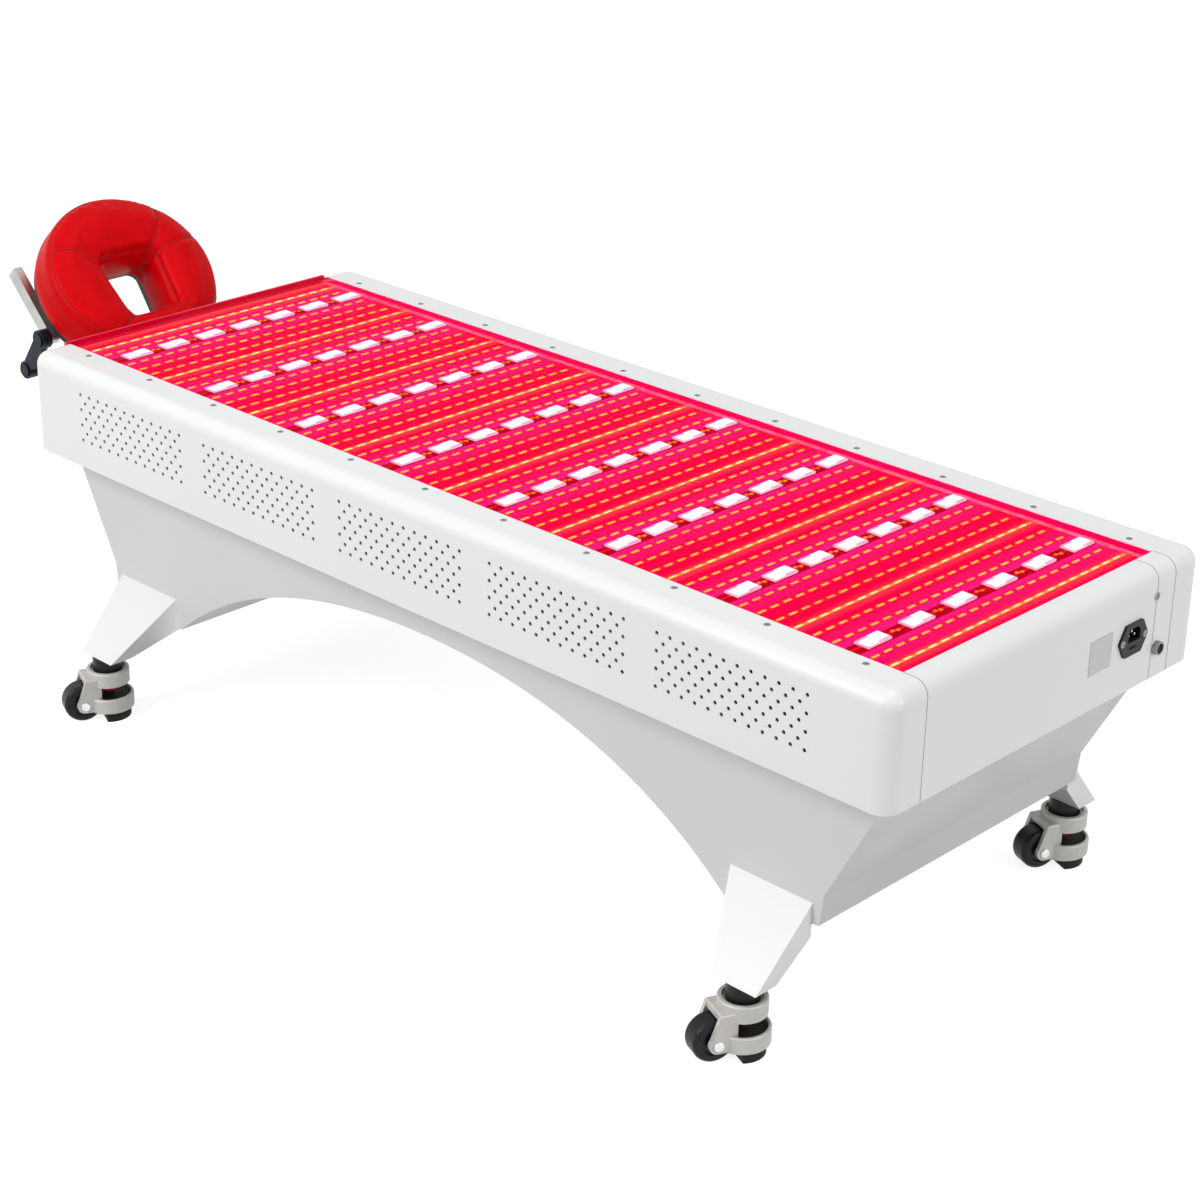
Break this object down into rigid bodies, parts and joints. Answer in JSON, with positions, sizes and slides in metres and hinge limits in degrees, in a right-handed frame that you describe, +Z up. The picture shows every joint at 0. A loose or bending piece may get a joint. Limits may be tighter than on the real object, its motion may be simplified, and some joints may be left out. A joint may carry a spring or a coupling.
{
  "type": "red light therapy bed",
  "caption": "White steel light bed with a clear lit lying surface, punched side vents, a bridge-shaped base on levelling casters and a tilting round face cradle at its head.",
  "frame": {"origin": "on the floor under the middle of the light box", "axes": "+X from the head to the foot, +Y from the near side to the far side, +Z up"},
  "size_m": [2.1531, 0.8595, 0.7239],
  "materials": {
    "white_enamel": "smooth white powder coat",
    "black_plastic": "moulded black",
    "clear_acrylic": "clear polished sheet",
    "red_board": "red lit boards",
    "white_led": "bright lit modules",
    "galvanised_steel": "galvanised tube",
    "aluminium_sheet": "plain mill finish",
    "green_board": "coated circuit board",
    "plated_steel": "zinc plated",
    "polished_steel": "polished",
    "dark_enamel": "dark navy enamel",
    "plywood": "black stained plywood",
    "red_vinyl": "soft upholstery vinyl",
    "cast_aluminium": "warm grey casting",
    "black_nylon": "black nylon",
    "red_dial": "moulded red",
    "black_rubber": "black rubber"
  },
  "bodies": {
    "fan": {"fan_rotor": "black_plastic"},
    "fuse_drawer": {"fuse_drawer": "black_plastic"},
    "cradle_slide": {"cradle_rods": "polished_steel", "lower_pivot_shaft": "polished_steel"},
    "cradle_link": {"cradle_links": "dark_enamel", "upper_pivot_pins": "polished_steel"},
    "cradle_head": {"cradle_arms": "aluminium_sheet", "backing_board": "plywood", "face_cushion": "red_vinyl"},
    "lock_knob": {"lock_knob": "black_plastic"},
    "swivel_near_head": {"caster_housing_near_head": "cast_aluminium", "caster_axle_near_head": "plated_steel"},
    "wheel_near_head": {"caster_wheel_near_head": "black_nylon"},
    "dial_near_head": {"caster_dial_near_head": "red_dial"},
    "foot_near_head": {"caster_foot_near_head": "black_rubber"},
    "swivel_far_head": {"caster_housing_far_head": "cast_aluminium", "caster_axle_far_head": "plated_steel"},
    "wheel_far_head": {"caster_wheel_far_head": "black_nylon"},
    "dial_far_head": {"caster_dial_far_head": "red_dial"},
    "foot_far_head": {"caster_foot_far_head": "black_rubber"},
    "swivel_near_foot": {"caster_housing_near_foot": "cast_aluminium", "caster_axle_near_foot": "plated_steel"},
    "wheel_near_foot": {"caster_wheel_near_foot": "black_nylon"},
    "dial_near_foot": {"caster_dial_near_foot": "red_dial"},
    "foot_near_foot": {"caster_foot_near_foot": "black_rubber"},
    "swivel_far_foot": {"caster_housing_far_foot": "cast_aluminium", "caster_axle_far_foot": "plated_steel"},
    "wheel_far_foot": {"caster_wheel_far_foot": "black_nylon"},
    "dial_far_foot": {"caster_dial_far_foot": "red_dial"},
    "foot_far_foot": {"caster_foot_far_foot": "black_rubber"},
    "bed": {"near_side_panel": "white_enamel", "far_side_panel": "white_enamel", "foot_end_panel": "white_enamel", "head_end_panel": "white_enamel", "base_near_side": "white_enamel", "base_far_side": "white_enamel", "base_head_end": "white_enamel", "base_foot_end": "white_enamel", "base_arch_soffit": "white_enamel", "leg_near_head": "white_enamel", "leg_far_head": "white_enamel", "leg_near_foot": "white_enamel", "leg_far_foot": "white_enamel", "head_edge_trim": "black_plastic", "fan_frame": "black_plastic", "power_inlet": "black_plastic", "acrylic_window": "clear_acrylic", "led_plate": "red_board", "led_strips": "red_board", "led_modules": "white_led", "deck_frame": "galvanised_steel", "deck_floor_pan": "aluminium_sheet", "led_drivers": "aluminium_sheet", "rating_plate": "aluminium_sheet", "control_board": "green_board", "panel_screws": "plated_steel", "frame_bolts": "plated_steel", "control_socket": "plated_steel", "rod_sockets": "plated_steel", "caster_stems": "plated_steel"}
  },
  "joints": [
    {"name": "fan_spin", "type": "hinge", "parent": "bed", "child": "fan", "pos_m": [0, -0.335, 0.4785], "axis": [0, 1, 0], "continuous": true},
    {"name": "fuse_drawer_slide", "type": "slide", "parent": "bed", "child": "fuse_drawer", "axis": [1, 0, 0], "range_m": [0, 0.02]},
    {"name": "cradle_extension", "type": "slide", "parent": "bed", "child": "cradle_slide", "axis": [-1, 0, 0], "range_m": [0, 0.06]},
    {"name": "cradle_height", "type": "hinge", "parent": "cradle_slide", "child": "cradle_link", "pos_m": [-1.168, 0, 0.445], "axis": [0, 1, 0], "range_deg": [-30, 10]},
    {"name": "cradle_tilt", "type": "hinge", "parent": "cradle_link", "child": "cradle_head", "pos_m": [-1.121, 0, 0.512], "axis": [0, 1, 0], "range_deg": [-45, 20]},
    {"name": "lock_knob_turn", "type": "hinge", "parent": "cradle_link", "child": "lock_knob", "pos_m": [-1.121, 0, 0.512], "axis": [0, 1, 0], "range_deg": [0, 180]},
    {"name": "swivel_near_head_turn", "type": "hinge", "parent": "bed", "child": "swivel_near_head", "pos_m": [-0.703, -0.371, 0.08], "axis": [0, 0, 1], "continuous": true},
    {"name": "wheel_near_head_roll", "type": "hinge", "parent": "swivel_near_head", "child": "wheel_near_head", "pos_m": [-0.72097, -0.41334, 0.032], "axis": [0.9205, -0.3907, 0], "continuous": true},
    {"name": "dial_near_head_turn", "type": "hinge", "parent": "swivel_near_head", "child": "dial_near_head", "pos_m": [-0.703, -0.371, 0.058], "axis": [0, 0, 1], "range_deg": [0, 1800]},
    {"name": "foot_near_head_lift", "type": "slide", "parent": "swivel_near_head", "child": "foot_near_head", "axis": [0, 0, 1], "range_m": [0, 0.01]},
    {"name": "swivel_far_head_turn", "type": "hinge", "parent": "bed", "child": "swivel_far_head", "pos_m": [-0.703, 0.371, 0.08], "axis": [0, 0, 1], "continuous": true},
    {"name": "wheel_far_head_roll", "type": "hinge", "parent": "swivel_far_head", "child": "wheel_far_head", "pos_m": [-0.72097, 0.32866, 0.032], "axis": [0.9205, -0.3907, 0], "continuous": true},
    {"name": "dial_far_head_turn", "type": "hinge", "parent": "swivel_far_head", "child": "dial_far_head", "pos_m": [-0.703, 0.371, 0.058], "axis": [0, 0, 1], "range_deg": [0, 1800]},
    {"name": "foot_far_head_lift", "type": "slide", "parent": "swivel_far_head", "child": "foot_far_head", "axis": [0, 0, 1], "range_m": [0, 0.01]},
    {"name": "swivel_near_foot_turn", "type": "hinge", "parent": "bed", "child": "swivel_near_foot", "pos_m": [0.703, -0.371, 0.08], "axis": [0, 0, 1], "continuous": true},
    {"name": "wheel_near_foot_roll", "type": "hinge", "parent": "swivel_near_foot", "child": "wheel_near_foot", "pos_m": [0.68503, -0.41334, 0.032], "axis": [0.9205, -0.3907, 0], "continuous": true},
    {"name": "dial_near_foot_turn", "type": "hinge", "parent": "swivel_near_foot", "child": "dial_near_foot", "pos_m": [0.703, -0.371, 0.058], "axis": [0, 0, 1], "range_deg": [0, 1800]},
    {"name": "foot_near_foot_lift", "type": "slide", "parent": "swivel_near_foot", "child": "foot_near_foot", "axis": [0, 0, 1], "range_m": [0, 0.01]},
    {"name": "swivel_far_foot_turn", "type": "hinge", "parent": "bed", "child": "swivel_far_foot", "pos_m": [0.703, 0.371, 0.08], "axis": [0, 0, 1], "continuous": true},
    {"name": "wheel_far_foot_roll", "type": "hinge", "parent": "swivel_far_foot", "child": "wheel_far_foot", "pos_m": [0.68503, 0.32866, 0.032], "axis": [0.9205, -0.3907, 0], "continuous": true},
    {"name": "dial_far_foot_turn", "type": "hinge", "parent": "swivel_far_foot", "child": "dial_far_foot", "pos_m": [0.703, 0.371, 0.058], "axis": [0, 0, 1], "range_deg": [0, 1800]},
    {"name": "foot_far_foot_lift", "type": "slide", "parent": "swivel_far_foot", "child": "foot_far_foot", "axis": [0, 0, 1], "range_m": [0, 0.01]}
  ],
  "couplings": [
    {"joint": "dial_near_head_turn", "follows": "foot_near_head_lift", "rad_per_m": 3141.6},
    {"joint": "dial_far_head_turn", "follows": "foot_far_head_lift", "rad_per_m": 3141.6},
    {"joint": "dial_near_foot_turn", "follows": "foot_near_foot_lift", "rad_per_m": 3141.6},
    {"joint": "dial_far_foot_turn", "follows": "foot_far_foot_lift", "rad_per_m": 3141.6}
  ]
}
